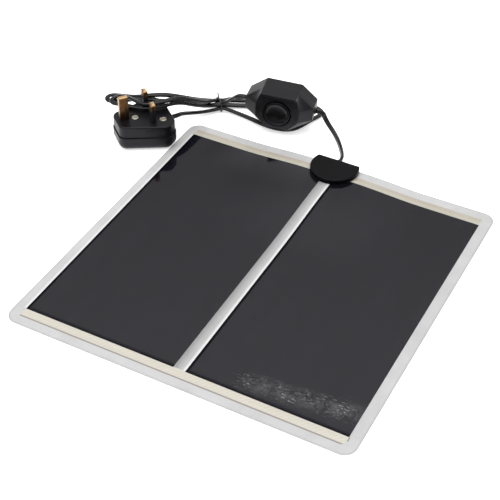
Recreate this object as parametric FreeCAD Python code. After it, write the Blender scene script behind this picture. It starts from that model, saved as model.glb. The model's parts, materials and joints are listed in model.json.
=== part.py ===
import FreeCAD, Part
import math
import os

# Seedling heat mat: a laminated carbon-film heater with a terminal clamp at its rear edge, a short
# lead to an inline rotary controller, and a tied hank of flat twin lead with a three-pin plug.
# Millimetres.  The origin is on the floor, under the middle of the mat and its terminal.
# +Y runs towards the terminal, +Z is up.

V = FreeCAD.Vector
X, Y, Z = V(1, 0, 0), V(0, 1, 0), V(0, 0, 1)
SIDES = (-1, 1)

# ---- driving dimensions: mat -------------------------------------------------------------------
FILM_SIDE = 280.0            # square film
FILM_CORNER = 10.0           # corner radius
SHEET = 0.25                 # each polyester film
CORE = 0.12                  # printed layer between the films
TERMINAL_OVERHANG = 1.0      # the clamp stands this far behind the film
PANEL_WIDTH, PANEL_LENGTH = 126.0, 247.4
PANEL_GAP = 9.6              # clear strip between the two panels
BUSBAR_FRONT, BUSBAR_REAR = 8.2, 7.5
BUSBAR_SPLIT = 6.0           # gap between the two rear bars
RISE = 2.4                   # the clamp's base lifts the rear of the film by this
RISE_LENGTH = 104.0          # over this length, as two equal arcs
RISE_HALF_WIDTH = 32.0       # the full lift reaches this far to each side, then falls to the corners

FILM_BACK = (FILM_SIDE - TERMINAL_OVERHANG) / 2
FILM_FRONT = FILM_BACK - FILM_SIDE
MAT_CENTRE = (FILM_FRONT + FILM_BACK) / 2
FILM_TOP = 2 * SHEET + CORE

# ---- driving dimensions: terminal clamp --------------------------------------------------------
CLAMP_RADIUS = 20.6
CLAMP_BACK = FILM_BACK + TERMINAL_OVERHANG
CLAMP_CENTRE = CLAMP_BACK - 8.6
CLAMP_TOP = 7.2
CLAMP_WALL = 1.5
GASKET = 0.3
CLAMP_ROOF = 1.3             # thickness of the cover's top
EYELET_X, EYELET_Y = 8.0, CLAMP_BACK - 12.7
EYELET_RADIUS, EYELET_BORE, EYELET_FLANGE = 1.5, 1.0, 2.7
TAB_THICKNESS, BARREL_RADIUS = 0.4, 1.25
POST_X, POST_Y, POST_RADIUS = 11.5, CLAMP_BACK - 5.5, 1.45
POST_LENGTH = 2.2            # above the gasket
LEAD_EXIT_Z = 4.85           # axis of the lead in the clamp's rear wall
SLEEVE_HALF_HEIGHT, SLEEVE_HALF_FLAT = 1.6, 1.0    # of the flat sleeve round that lead
CLAMP_INSERT = 4.2           # length of that sleeve inside the clamp
CLAMP_PROUD = 1.2            # and outside it

# ---- driving dimensions: controller, in its own frame ------------------------------------------
# local X along its length, local Y across, local Z out of the face that carries the knob
CASE_LENGTH, CASE_WIDTH, CASE_DEPTH = 60.0, 34.4, 28.0
CASE_FLAT_LENGTH, CASE_END_WIDTH = 31.0, 11.4
CASE_JOINT_Z = 11.0          # the shells meet here, at the level of the leads
CASE_RIM_Z = 18.0            # the sides are upright up to here, then slope in to the face
FACE_Z = 26.0
CASE_WALL = 1.8
BROW = 1.8                   # thickness of the lip along the top of the knob's face
KNOB_RADIUS, KNOB_TOP, KNOB_BOTTOM = 11.5, 26.9, 20.0
KNOB_GAP = 1.15
KNOB_Y = -1.0                # the knob's centre, midway between the brow and the lower edge
SHAFT_RADIUS, SHAFT_CLEARANCE = 3.0, 0.05
SHAFT_LOW, SHAFT_TOP, SHAFT_FLAT = 7.2, 23.6, 2.0
BOSS_X, BOSS_Y, BOSS_RADIUS = 13.0, 12.2, 2.6
CASE_SCREW_RADIUS, CASE_SCREW_HEAD, CASE_SCREW_END = 1.0, 2.0, 15.5
BOARD_LOW, BOARD_HIGH = 4.0, 5.5
CORE_END_X, CORE_PITCH = 25.0, 1.1       # where the stripped cores start, and half their spacing
CASE_YAW, CASE_PITCH, CASE_LEAN = 13.0, 3.5, -2.0
CASE_AT = V(-66.6, 154.3, 23.4)          # centre of the brow plane above the floor

# ---- driving dimensions: plug, in its own frame ------------------------------------------------
# local X from the earth pin towards the lead, local Z up along the pins; the earth pin is at 0, 0
PLUG_HEIGHT, PLUG_JOINT_Z = 24.0, 13.0
PLUG_LIP, PLUG_WALL = 0.8, 2.2
PIN_PITCH_X, PIN_PITCH_Y = 22.2, 11.1
EARTH_PIN = (8.0, 4.0, 22.7)
LIVE_PIN = (4.0, 6.35, 17.7)
PIN_FOOT = 14.0              # the pins' feet are held from this height
SLEEVE_HEIGHT, SLEEVE_THICKNESS = 11.8, 0.5
PLUG_CORNER, COVER_CORNER, COVER_BELLY = 6.8, 7.6, 6.8
PLUG_SCREWS = [(9.6, 0.0), (31.1, 10.9), (31.1, -10.9)]
FUSE_Y, FUSE_Z, FUSE_RADIUS = -9.2, 9.6, 3.15
FUSE_CLIP = 3.6
GRIP_X, GRIP_SCREW_Y = 31.5, 4.4
PLUG_CORE_START = 35.5
PLUG_END = 40.0
PLUG_LEAD_Z = 15.5
PLUG_AT, PLUG_YAW = V(-177.0, 86.3, 0.0), 49.2

# ---- driving dimensions: leads -----------------------------------------------------------------
LEAD_DIAMETER = 3.8          # round tube with about the section of the 4.4 x 2.8 mm flat twin lead
CORE_RADIUS = 0.85
BUSH_RADIUS, BUSH_PROUD = 2.9, 1.0
TIE_WIRE = 1.2
TIE_AT = V(-130.5, 168.0, 0.0)
TIE_STRANDS = [(-5.1, 3.4), (5.5, 4.8), (1.6, 8.2), (-3.5, 7.5)]   # outer strands: across, height
TIE_REACH = LEAD_DIAMETER / 2 + TIE_WIRE / 2 + 0.15

CASE_PLACE = FreeCAD.Placement(V(0, 0, 0), FreeCAD.Rotation(Z, CASE_YAW)
                               * FreeCAD.Rotation(Y, CASE_PITCH)
                               * FreeCAD.Rotation(X, 90.0 + CASE_LEAN))
CASE_PLACE.Base = CASE_AT - CASE_PLACE.multVec(V(0, 0, CASE_DEPTH))
PLUG_PLACE = FreeCAD.Placement(PLUG_AT, FreeCAD.Rotation(Z, PLUG_YAW))


# ---- helpers -----------------------------------------------------------------------------------
def save(node, solids, place=None):
    """Write one node as STEP, moved from its own frame to the object's."""
    os.makedirs("parts", exist_ok=True)
    shape = solids[0] if len(solids) == 1 else Part.makeCompound(solids)
    if place is not None:
        shape = shape.copy()
        shape.Placement = place.multiply(shape.Placement)
    shape.exportStep(f"parts/{node}.step")
    print(f"{node}: {len(shape.Solids)} solid(s), {shape.Volume:.1f} mm3, valid {shape.isValid()}")


def box(x0, x1, y0, y1, z0, z1):
    return Part.makeBox(x1 - x0, y1 - y0, z1 - z0, V(x0, y0, z0))


def rod(start, end, radius):
    """Cylinder from one point to another."""
    start, end = V(*start), V(*end)
    return Part.makeCylinder(radius, (end - start).Length, start, end - start)


def polygon(points, z):
    """Closed outline in the plane at height z."""
    return Part.makePolygon([V(x, y, z) for x, y in points] + [V(*points[0], z)])


def prism(points, z0, z1):
    """Upright prism on a polygon."""
    return Part.Face(polygon(points, z0)).extrude(V(0, 0, z1 - z0))


def soften(shape, radius, picks):
    """Round the edges that picks() chooses."""
    return shape.makeFillet(radius, [e for e in shape.Edges if picks(e)])


def upright(edge):
    """True for a straight edge along Z."""
    a, b = edge.Vertexes[0].Point, edge.Vertexes[-1].Point
    return abs(a.x - b.x) < 1e-6 and abs(a.y - b.y) < 1e-6 and abs(a.z - b.z) > 1e-6


def lies_at(z):
    """Picks the edges that lie in the plane at height z."""
    return lambda edge: abs(edge.BoundBox.ZMin - z) < 1e-4 and abs(edge.BoundBox.ZMax - z) < 1e-4


def revolve(profile):
    """Turn an (r, z) outline about the local Z axis."""
    corners = [V(r, 0, z) for r, z in profile]
    return Part.Face(Part.makePolygon(corners + corners[:1])).revolve(V(0, 0, 0), Z, 360)


def joined(shapes):
    return Part.makeCompound(list(shapes))


def bend(before, corner, after, fraction=0.45):
    """Tangent points and radius of the arc at one corner of a route."""
    back, ahead = before - corner, after - corner
    reach = fraction * min(back.Length, ahead.Length)
    enter = corner + back.normalize() * reach
    leave = corner + ahead.normalize() * reach
    turn = math.pi - back.getAngle(ahead)
    return enter, leave, turn, reach / math.tan(turn / 2)


def route_wire(route):
    """Straight runs joined by tangent arcs, with the radii and the length."""
    edges, radii, length, here = [], [], 0.0, route[0]
    for before, corner, after in zip(route, route[1:], route[2:]):
        enter, leave, turn, radius = bend(before, corner, after)
        middle = (enter + leave) * 0.5
        centre = corner + (middle - corner).normalize() * (radius / math.cos(turn / 2))
        top = centre + (corner - centre).normalize() * radius
        edges += [Part.LineSegment(here, enter).toShape(), Part.Arc(enter, top, leave).toShape()]
        length += (enter - here).Length + radius * turn
        radii.append(radius)
        here = leave
    edges.append(Part.LineSegment(here, route[-1]).toShape())
    return Part.Wire(edges), radii, length + (route[-1] - here).Length


def tube(route, radius):
    """Round tube along a route of points."""
    path, radii, length = route_wire(route)
    start = Part.Wire(Part.makeCircle(radius, route[0], route[1] - route[0]))
    solid = path.makePipeShell([start], True, False)
    return solid, radii, length


def lead(node, route):
    """A free lead: its tube, its radii, and its volume against section times length."""
    solid, radii, length = tube(route, LEAD_DIAMETER / 2)
    wanted = math.pi * (LEAD_DIAMETER / 2) ** 2 * length
    print(f"{node}: length {length:.1f}, volume ratio {solid.Volume / wanted:.4f}, "
          f"lowest {solid.optimalBoundingBox(False).ZMin:.2f}")
    print("  radii " + " ".join(f"{r:.1f}" for r in radii))
    save(node, [solid])


# ---- mat ---------------------------------------------------------------------------------------
def film_line(x, z, rise):
    """The film's profile at one x: flat, up over the clamp's base by two arcs, and level."""
    start, middle, end = MAT_CENTRE, MAT_CENTRE + RISE_LENGTH / 2, MAT_CENTRE + RISE_LENGTH
    radius = ((RISE_LENGTH / 2) ** 2 + (RISE / 2) ** 2) / RISE
    half_angle = math.asin(RISE_LENGTH / 2 / radius) / 2
    run, sag = radius * math.sin(half_angle), radius * (1 - math.cos(half_angle))
    heights = [(FILM_FRONT - 1, 0), (start, 0), (start + run, sag), (middle, RISE / 2),
               (end - run, RISE - sag), (end, RISE), (FILM_BACK + 1, RISE)]
    points = [V(x, y, z + h * rise / RISE) for y, h in heights]
    if rise == 0:
        stops = [points[i] for i in (0, 1, 3, 5, 6)]
        return [Part.LineSegment(a, b).toShape() for a, b in zip(stops, stops[1:])]
    return [Part.LineSegment(points[0], points[1]).toShape(),
            Part.Arc(points[1], points[2], points[3]).toShape(),
            Part.Arc(points[3], points[4], points[5]).toShape(),
            Part.LineSegment(points[5], points[6]).toShape()]


def film_section(x, z0, z1, rise):
    """Closed outline of one layer at one x."""
    low, high = film_line(x, z0, rise), film_line(x, z1, rise)
    front = Part.LineSegment(high[0].Vertexes[0].Point, low[0].Vertexes[0].Point).toShape()
    rear = Part.LineSegment(low[-1].Vertexes[-1].Point, high[-1].Vertexes[-1].Point).toShape()
    return Part.Wire(low + [rear] + high[::-1] + [front])


def layer(z0, z1, plan, holes=()):
    """One layer of the laminate between two heights, cut to a plan outline."""
    middle = film_section(-RISE_HALF_WIDTH, z0, z1, RISE)
    slab = Part.Face(middle).extrude(V(2 * RISE_HALF_WIDTH, 0, 0))
    wings = []
    for side in (-1, 1):
        inner = film_section(side * RISE_HALF_WIDTH, z0, z1, RISE)
        outer = film_section(side * (FILM_SIDE / 2 + 1), z0, z1, 0)
        wings.append(Part.makeLoft([inner, outer], True, True))
    slab = slab.fuse(wings).common(plan)
    return slab.cut(joined(holes)) if holes else slab


def plan_box(x0, x1, y0, y1):
    """Tall box that cuts a layer to a rectangle."""
    return box(x0, x1, y0, y1, -1, 10)


def pair_of_rods(x, y, z0, z1, radius):
    """Two upright rods, one at each side of the middle."""
    return [rod((s * x, y, z0), (s * x, y, z1), radius) for s in SIDES]


def mat():
    half = FILM_SIDE / 2
    outline = soften(plan_box(-half, half, FILM_FRONT, FILM_BACK), FILM_CORNER, upright)
    inner, reach = PANEL_GAP / 2, PANEL_GAP / 2 + PANEL_WIDTH
    front = MAT_CENTRE - PANEL_LENGTH / 2
    rear = MAT_CENTRE + PANEL_LENGTH / 2
    plans = {
        "carbon_panel_left": plan_box(-reach, -inner, front, rear),
        "carbon_panel_right": plan_box(inner, reach, front, rear),
        "busbar_front": plan_box(-reach, reach, front - BUSBAR_FRONT, front),
        "busbar_rear_left": plan_box(-reach, -BUSBAR_SPLIT / 2, rear, rear + BUSBAR_REAR),
        "busbar_rear_right": plan_box(BUSBAR_SPLIT / 2, reach, rear, rear + BUSBAR_REAR),
    }
    eyelet_holes = pair_of_rods(EYELET_X, EYELET_Y, -1, 10, EYELET_RADIUS)
    post_holes = pair_of_rods(POST_X, POST_Y, -1, 10, POST_RADIUS + 0.15)
    for node, plan in plans.items():
        holes = eyelet_holes if node.startswith("busbar_rear") else ()
        save(node, [layer(SHEET, SHEET + CORE, plan, holes)])
    save("film_bottom", [layer(0, SHEET, outline, eyelet_holes + post_holes)])
    save("film_top", [layer(SHEET + CORE, FILM_TOP, outline, eyelet_holes + post_holes)])
    bond = outline.cut(joined(plans.values()))
    save("bonding_layer", [layer(SHEET, SHEET + CORE, bond, eyelet_holes + post_holes)])


# ---- terminal clamp ----------------------------------------------------------------------------
def clamp_plan(inset, z0, z1):
    """Disc cut straight along its rear edge, drawn in by the inset."""
    radius, back = CLAMP_RADIUS - inset, CLAMP_BACK - inset
    half = math.sqrt(radius ** 2 - (back - CLAMP_CENTRE) ** 2)
    left, right, front = V(-half, back, z0), V(half, back, z0), V(0, CLAMP_CENTRE - radius, z0)
    wire = Part.Wire([Part.Arc(left, front, right).toShape(), Part.LineSegment(right, left).toShape()])
    return Part.Face(wire).extrude(V(0, 0, z1 - z0))


def flat_bar(y0, y1):
    """The flat sleeve round the lead in the clamp's rear wall."""
    low, high = LEAD_EXIT_Z - SLEEVE_HALF_HEIGHT, LEAD_EXIT_Z + SLEEVE_HALF_HEIGHT
    middle = box(-SLEEVE_HALF_FLAT, SLEEVE_HALF_FLAT, y0, y1, low, high)
    ends = [rod((s * SLEEVE_HALF_FLAT, y0, LEAD_EXIT_Z), (s * SLEEVE_HALF_FLAT, y1, LEAD_EXIT_Z),
                SLEEVE_HALF_HEIGHT) for s in SIDES]
    return middle.fuse(ends).removeSplitter()


def terminal():
    seat = RISE + FILM_TOP + GASKET
    post_top = seat + POST_LENGTH
    # base: a plate under the film, with two posts up through it and room for the eyelets' flanges
    base = soften(clamp_plan(0, 0, RISE), 0.8, lies_at(0))
    posts = pair_of_rods(POST_X, POST_Y, 1, post_top, POST_RADIUS)
    pockets = pair_of_rods(EYELET_X, EYELET_Y, RISE - 0.8, RISE + 1, EYELET_FLANGE + 0.5)
    save("terminal_base", [base.fuse(posts).cut(joined(pockets)).removeSplitter()])

    # cover: a shallow cup with its rim on the gasket, sockets for the posts and a rear lip
    cover = soften(clamp_plan(0, seat, CLAMP_TOP), 0.9, lies_at(CLAMP_TOP))
    cover = cover.cut(clamp_plan(CLAMP_WALL, seat - 1, CLAMP_TOP - CLAMP_ROOF))
    lip = clamp_plan(0, RISE, seat).cut(plan_box(-30, 30, CLAMP_CENTRE - 30, FILM_BACK + 0.2))
    sockets = [socket.common(clamp_plan(0.5, seat, CLAMP_TOP))
               for socket in pair_of_rods(POST_X, POST_Y, seat, CLAMP_TOP - 1, 2.5)]
    bores = pair_of_rods(POST_X, POST_Y, 0, post_top, POST_RADIUS)
    slot = flat_bar(CLAMP_BACK - 6, CLAMP_BACK + 3)
    cover = cover.fuse([lip] + sockets).cut(joined(bores + [slot])).removeSplitter()
    save("terminal_cover", [cover])

    rim = clamp_plan(0.1, RISE + FILM_TOP, seat).cut(clamp_plan(CLAMP_WALL, 0, 10))
    rim = rim.cut(plan_box(-30, 30, FILM_BACK - 0.2, 200)).cut(slot)
    save("terminal_gasket", [rim])
    save("terminal_bush", [flat_bar(CLAMP_BACK - CLAMP_INSERT, CLAMP_BACK + CLAMP_PROUD)])
    crimped_ends()


def crimped_ends():
    """Eyelets that clamp a ring tab to each bus bar, and the two cores crimped into the tabs."""
    tabs, eyelets, cores = [], [], []
    tab_z = RISE + FILM_TOP
    flange_z = RISE - TAB_THICKNESS
    barrel_near, barrel_far, grip = 2.6, 6.2, 2.4
    for s in SIDES:
        at = V(s * EYELET_X, EYELET_Y, 0)
        over = at + Z * (tab_z + TAB_THICKNESS)
        eyelet = Part.makeCylinder(EYELET_RADIUS, FILM_TOP + 0.9, at + Z * flange_z)
        eyelet = eyelet.fuse([Part.makeCylinder(EYELET_FLANGE, TAB_THICKNESS, at + Z * flange_z),
                              Part.makeCylinder(EYELET_FLANGE - 0.3, 0.35, over)])
        eyelets.append(eyelet.cut(Part.makeCylinder(EYELET_BORE, 10, at)).removeSplitter())
        core_end = V(s * BARREL_RADIUS, CLAMP_BACK - CLAMP_INSERT, LEAD_EXIT_Z)
        away = V(core_end.x - at.x, core_end.y - at.y, 0).normalize()
        rise = Z * (tab_z + BARREL_RADIUS)
        near, far = at + away * barrel_near + rise, at + away * barrel_far + rise
        ring = Part.makeCylinder(EYELET_FLANGE, TAB_THICKNESS, at + Z * tab_z)
        barrel = Part.makeCylinder(BARREL_RADIUS, (far - near).Length, near, away)
        tab = ring.fuse(barrel).cut(Part.makeCylinder(EYELET_RADIUS, 10, at))
        tab = tab.cut(Part.makeCylinder(EYELET_FLANGE - 0.3, 4, over))
        tab = tab.cut(Part.makeCylinder(CORE_RADIUS, 4, far - away * grip, away))
        tabs.append(tab.removeSplitter())
        route = [far - away * grip, far + away * 0.8, core_end - V(0, 1.2, 0), core_end]
        cores.append(tube(route, CORE_RADIUS)[0])
    save("terminal_eyelets", eyelets)
    save("crimp_tabs", tabs)
    save("mat_lead_cores", cores)


# ---- controller --------------------------------------------------------------------------------
def octagon(inset=0.0):
    """Outline of the case: flat long sides, and ends that narrow towards the leads."""
    half_flat, half_width = CASE_FLAT_LENGTH / 2, CASE_WIDTH / 2
    half_length, half_end = CASE_LENGTH / 2, CASE_END_WIDTH / 2
    slope = math.hypot(half_length - half_flat, half_width - half_end)
    trim = inset * (slope - (half_length - half_flat)) / (half_width - half_end)
    quarter = [(half_flat - trim, half_width - inset), (half_length - inset, half_end - trim)]
    right = quarter + [(x, -y) for x, y in reversed(quarter)]
    return right + [(-x, -y) for x, y in right]


def face_outline():
    """The face that carries the knob, one corner for each of the octagon's."""
    right = [(15.5, 17.2), (16.6, 5.0), (16.2, -6.5), (9.0, -15.6)]
    return right + [(-x, y) for x, y in reversed(right)]


def case_bosses(z0, z1, radius):
    """Four upright rods at the shells' screw places."""
    return [rod((x, y, z0), (x, y, z1), radius)
            for x in (-BOSS_X, BOSS_X) for y in (-BOSS_Y, BOSS_Y)]


def lead_entries():
    """Cuts for the two lead bushes, half in each shell."""
    return [rod((s * 24, 0, CASE_JOINT_Z), (s * 34, 0, CASE_JOINT_Z), BUSH_RADIUS) for s in SIDES]


def case_shells():
    rear = soften(prism(octagon(), 0, CASE_JOINT_Z), 1.6, upright)
    rear = soften(rear, 1.4, lies_at(0))
    rear = rear.cut(prism(octagon(CASE_WALL), CASE_WALL, CASE_JOINT_Z + 1))
    pillars = [rod((x, y, 1), (x, y, BOARD_LOW), 1.6) for x in (-17.5, 17.5) for y in (-6.0, 6.0)]
    rear = rear.fuse(case_bosses(1, CASE_JOINT_Z, BOSS_RADIUS) + pillars)
    heads = case_bosses(-1, 2.2, CASE_SCREW_HEAD + 0.1)
    shanks = case_bosses(0, CASE_JOINT_Z + 1, CASE_SCREW_RADIUS + 0.2)
    rear = rear.cut(joined(heads + shanks + lead_entries())).removeSplitter()
    save("controller_rear_shell", [rear], CASE_PLACE)

    skirt = prism(octagon(), CASE_JOINT_Z, CASE_RIM_Z)
    outlines = [polygon(octagon(), CASE_RIM_Z), polygon(face_outline(), CASE_DEPTH)]
    front = skirt.fuse(Part.makeLoft(outlines, True, True))
    front = front.cut(box(-40, 40, -30, CASE_WIDTH / 2 - BROW, FACE_Z, 40))
    ceiling = CASE_RIM_Z - 0.4
    front = front.cut(prism(octagon(CASE_WALL), CASE_JOINT_Z - 1, ceiling))
    front = front.fuse(case_bosses(CASE_JOINT_Z, ceiling + 0.5, BOSS_RADIUS))
    recess = Part.makeCylinder(KNOB_RADIUS + KNOB_GAP, 20, V(0, KNOB_Y, KNOB_BOTTOM - 0.5))
    bore = Part.makeCylinder(SHAFT_RADIUS + 0.6, 20, V(0, KNOB_Y, 10))
    pilots = case_bosses(CASE_JOINT_Z - 1, CASE_JOINT_Z + 5, CASE_SCREW_RADIUS)
    front = front.cut(joined([recess, bore] + pilots + lead_entries())).removeSplitter()
    save("controller_front_shell", [front], CASE_PLACE)


def case_screws():
    head, shank, end = CASE_SCREW_HEAD, CASE_SCREW_RADIUS, CASE_SCREW_END
    low, neck = 0.6, 2.2
    screws = []
    for x in (-BOSS_X, BOSS_X):
        for y in (-BOSS_Y, BOSS_Y):
            screw = revolve([(0, low), (head, low), (head, neck), (shank, neck), (shank, end), (0, end)])
            screw = screw.cut(box(-3, 3, -0.3, 0.3, 0, low + 0.6))
            screw.translate(V(x, y, 0))
            screws.append(screw)
    save("shell_screws", screws, CASE_PLACE)


def case_bushes():
    for side, s in zip(("left", "right"), SIDES):
        bush = rod((s * CORE_END_X, 0, CASE_JOINT_Z),
                   (s * (CASE_LENGTH / 2 + BUSH_PROUD), 0, CASE_JOINT_Z), BUSH_RADIUS)
        save(f"controller_bush_{side}", [bush], CASE_PLACE)


def knob():
    """A dished knob with a round lip, on a shaft with a flat."""
    lip, steps, dish_depth = 1.2, 7, 1.9
    floor_radius = KNOB_RADIUS - 2.4
    dish = [(floor_radius * (1 - i / steps),
             KNOB_TOP - dish_depth * math.sin(math.pi / 2 * (i + 1) / steps)) for i in range(steps)]
    outline = [(0, KNOB_BOTTOM), (KNOB_RADIUS - 0.5, KNOB_BOTTOM), (KNOB_RADIUS, KNOB_BOTTOM + 0.5),
               (KNOB_RADIUS, KNOB_TOP - lip), (KNOB_RADIUS - 0.35, KNOB_TOP - 0.4),
               (KNOB_RADIUS - lip, KNOB_TOP)] + dish + [(0, KNOB_TOP - dish_depth)]
    body = revolve(outline)
    flat = box(-5, 5, SHAFT_FLAT, 5, KNOB_BOTTOM, 40)
    shaft = Part.makeCylinder(SHAFT_RADIUS, SHAFT_TOP - SHAFT_LOW, Z * SHAFT_LOW).cut(flat)
    socket = Part.makeCylinder(SHAFT_RADIUS, SHAFT_TOP - KNOB_BOTTOM, Z * KNOB_BOTTOM).cut(flat)
    for node, solid in (("control_knob", body.cut(socket)), ("knob_shaft", shaft)):
        solid.translate(V(0, KNOB_Y, 0))
        save(node, [solid], CASE_PLACE)


def controller_inside():
    """The dimmer's board, with its parts standing on it."""
    save("circuit_board", [box(-20, 20, -8.8, 8.8, BOARD_LOW, BOARD_HIGH)], CASE_PLACE)
    pot = box(-8, 8, -8, 8, BOARD_HIGH, 12.0).fuse(Part.makeCylinder(3.5, 5.3, V(0, 0, 12.0)))
    pot = pot.cut(Part.makeCylinder(SHAFT_RADIUS + SHAFT_CLEARANCE, 20, V(0, 0, 7.0)))
    pot.translate(V(0, KNOB_Y, 0))
    save("potentiometer", [pot.removeSplitter()], CASE_PLACE)
    fin_top = 15.5
    fin = box(-17.2, -9.2, -7.6, -6.4, BOARD_HIGH, fin_top)
    foot = box(-17.2, -16.0, -6.4, -4.6, BOARD_HIGH, fin_top)
    save("heat_sink", [fin.fuse(foot)], CASE_PLACE)
    save("triac", [box(-15.6, -10.0, -6.4, -3.2, BOARD_HIGH, 14.0)], CASE_PLACE)
    capacitor = soften(box(10.0, 15.0, -7.6, -1.2, BOARD_HIGH, 13.5), 0.6, upright)
    save("capacitor", [capacitor], CASE_PLACE)
    choke_wire = 1.4
    save("choke", [Part.makeTorus(3.0, choke_wire, V(-12.8, 2.8, BOARD_HIGH + choke_wire))],
         CASE_PLACE)
    resistor = 1.1
    save("resistors", [rod((9.8, y, BOARD_HIGH + resistor), (15.8, y, BOARD_HIGH + resistor),
                           resistor) for y in (3.4, 6.4)], CASE_PLACE)
    for side, s in zip(("left", "right"), SIDES):
        cores = []
        for y in SIDES:
            path = [V(s * CORE_END_X, y * CORE_PITCH, CASE_JOINT_Z),
                    V(s * 22.4, y * CORE_PITCH, CASE_JOINT_Z),
                    V(s * 18.6, y * 2.6, 9.0), V(s * 18.6, y * 2.6, BOARD_HIGH)]
            cores.append(tube(path, CORE_RADIUS)[0])
        save(f"controller_cores_{side}", cores, CASE_PLACE)


# ---- plug --------------------------------------------------------------------------------------
def plug_outline(grow=0.0):
    """Narrow at the earth pin, widest near the lead, with cut corners."""
    upper = [(-7.5 - grow, 11.6 + grow), (32.0, 25.0 + grow), (PLUG_END + grow, 17.0 + grow)]
    return upper + [(x, -y) for x, y in reversed(upper)]


def pin(size, tip_chamfer):
    """One brass pin standing on the plug's face, with its foot inside."""
    dx, dy, height = size
    blade = box(-dx / 2, dx / 2, -dy / 2, dy / 2, PIN_FOOT, PLUG_HEIGHT + height)
    tip = lies_at(PLUG_HEIGHT + height)
    return blade.makeChamfer(tip_chamfer, [e for e in blade.Edges if tip(e)])


def plug_screw(x, y):
    """A slotted screw, sunk in its recess."""
    top, head, shank, length = PLUG_HEIGHT - 0.4, 3.4, 1.5, 15.0
    body = revolve([(0, top), (head - 0.5, top), (head, top - 0.6), (head, top - 1.8),
                    (shank, top - 1.8), (shank, top - length), (0, top - length)])
    body = body.cut(box(-head, head, -0.4, 0.4, top - 0.9, top + 1))
    body.translate(V(x, y, 0))
    return body


def plug_shells(pins_at):
    entry = rod((PLUG_END - 6, 0, PLUG_LEAD_Z), (PLUG_END + 4, 0, PLUG_LEAD_Z), BUSH_RADIUS)
    inner_corner = COVER_CORNER - 2.4
    base = soften(prism(plug_outline(), PLUG_JOINT_Z, PLUG_HEIGHT), PLUG_CORNER, upright)
    base = soften(base, 1.2, lies_at(PLUG_HEIGHT))
    hollow = prism(plug_outline(-PLUG_WALL), PLUG_JOINT_Z - 1, PLUG_HEIGHT - 3.5)
    base = base.cut(soften(hollow, inner_corner, upright))
    recesses = [rod((x, y, PLUG_HEIGHT - 2.2), (x, y, PLUG_HEIGHT + 1), 3.9) for x, y in PLUG_SCREWS]
    shanks = [rod((x, y, 10), (x, y, PLUG_HEIGHT), 1.7) for x, y in PLUG_SCREWS]
    blades = [box(x - dx / 2, x + dx / 2, y - dy / 2, y + dy / 2, 10, 30)
              for x, y, (dx, dy, _), _ in pins_at.values()]
    base = base.cut(joined(recesses + shanks + blades + [entry])).removeSplitter()
    save("plug_base", [base], PLUG_PLACE)

    floor = 2.4
    cover = soften(prism(plug_outline(PLUG_LIP), 0, PLUG_JOINT_Z), COVER_CORNER, upright)
    cover = soften(cover, COVER_BELLY, lies_at(0))
    hollow = soften(prism(plug_outline(-PLUG_WALL), floor, PLUG_JOINT_Z + 1), inner_corner, upright)
    cover = cover.cut(soften(hollow, COVER_BELLY - PLUG_WALL, lies_at(floor)))
    bosses = [rod((x, y, 1.5), (x, y, PLUG_JOINT_Z), 3.2) for x, y in PLUG_SCREWS]
    pilots = [rod((x, y, 5), (x, y, PLUG_JOINT_Z + 1), 1.5) for x, y in PLUG_SCREWS]
    cover = cover.fuse(bosses).cut(joined(pilots + [entry])).removeSplitter()
    save("plug_cover", [cover], PLUG_PLACE)
    save("plug_screws", [plug_screw(x, y) for x, y in PLUG_SCREWS], PLUG_PLACE)
    bush = rod((PLUG_CORE_START, 0, PLUG_LEAD_Z), (PLUG_END + BUSH_PROUD, 0, PLUG_LEAD_Z),
               BUSH_RADIUS)
    save("plug_bush", [bush], PLUG_PLACE)


def plug_pins(pins_at):
    sleeves = []
    for node, (x, y, size, chamfer) in pins_at.items():
        blade = pin(size, chamfer)
        if node != "earth_pin":
            half_x, half_y, skin = size[0] / 2, size[1] / 2, SLEEVE_THICKNESS
            around = box(-half_x, half_x, -half_y, half_y, PLUG_HEIGHT, PLUG_HEIGHT + SLEEVE_HEIGHT)
            sleeve = around.cut(box(skin - half_x, half_x - skin, skin - half_y, half_y - skin, 20, 40))
            blade = blade.cut(sleeve)
            sleeve.translate(V(x, y, 0))
            sleeves.append(sleeve)
        blade.translate(V(x, y, 0))
        save(node, [blade], PLUG_PLACE)
    save("pin_sleeves", sleeves, PLUG_PLACE)


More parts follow.
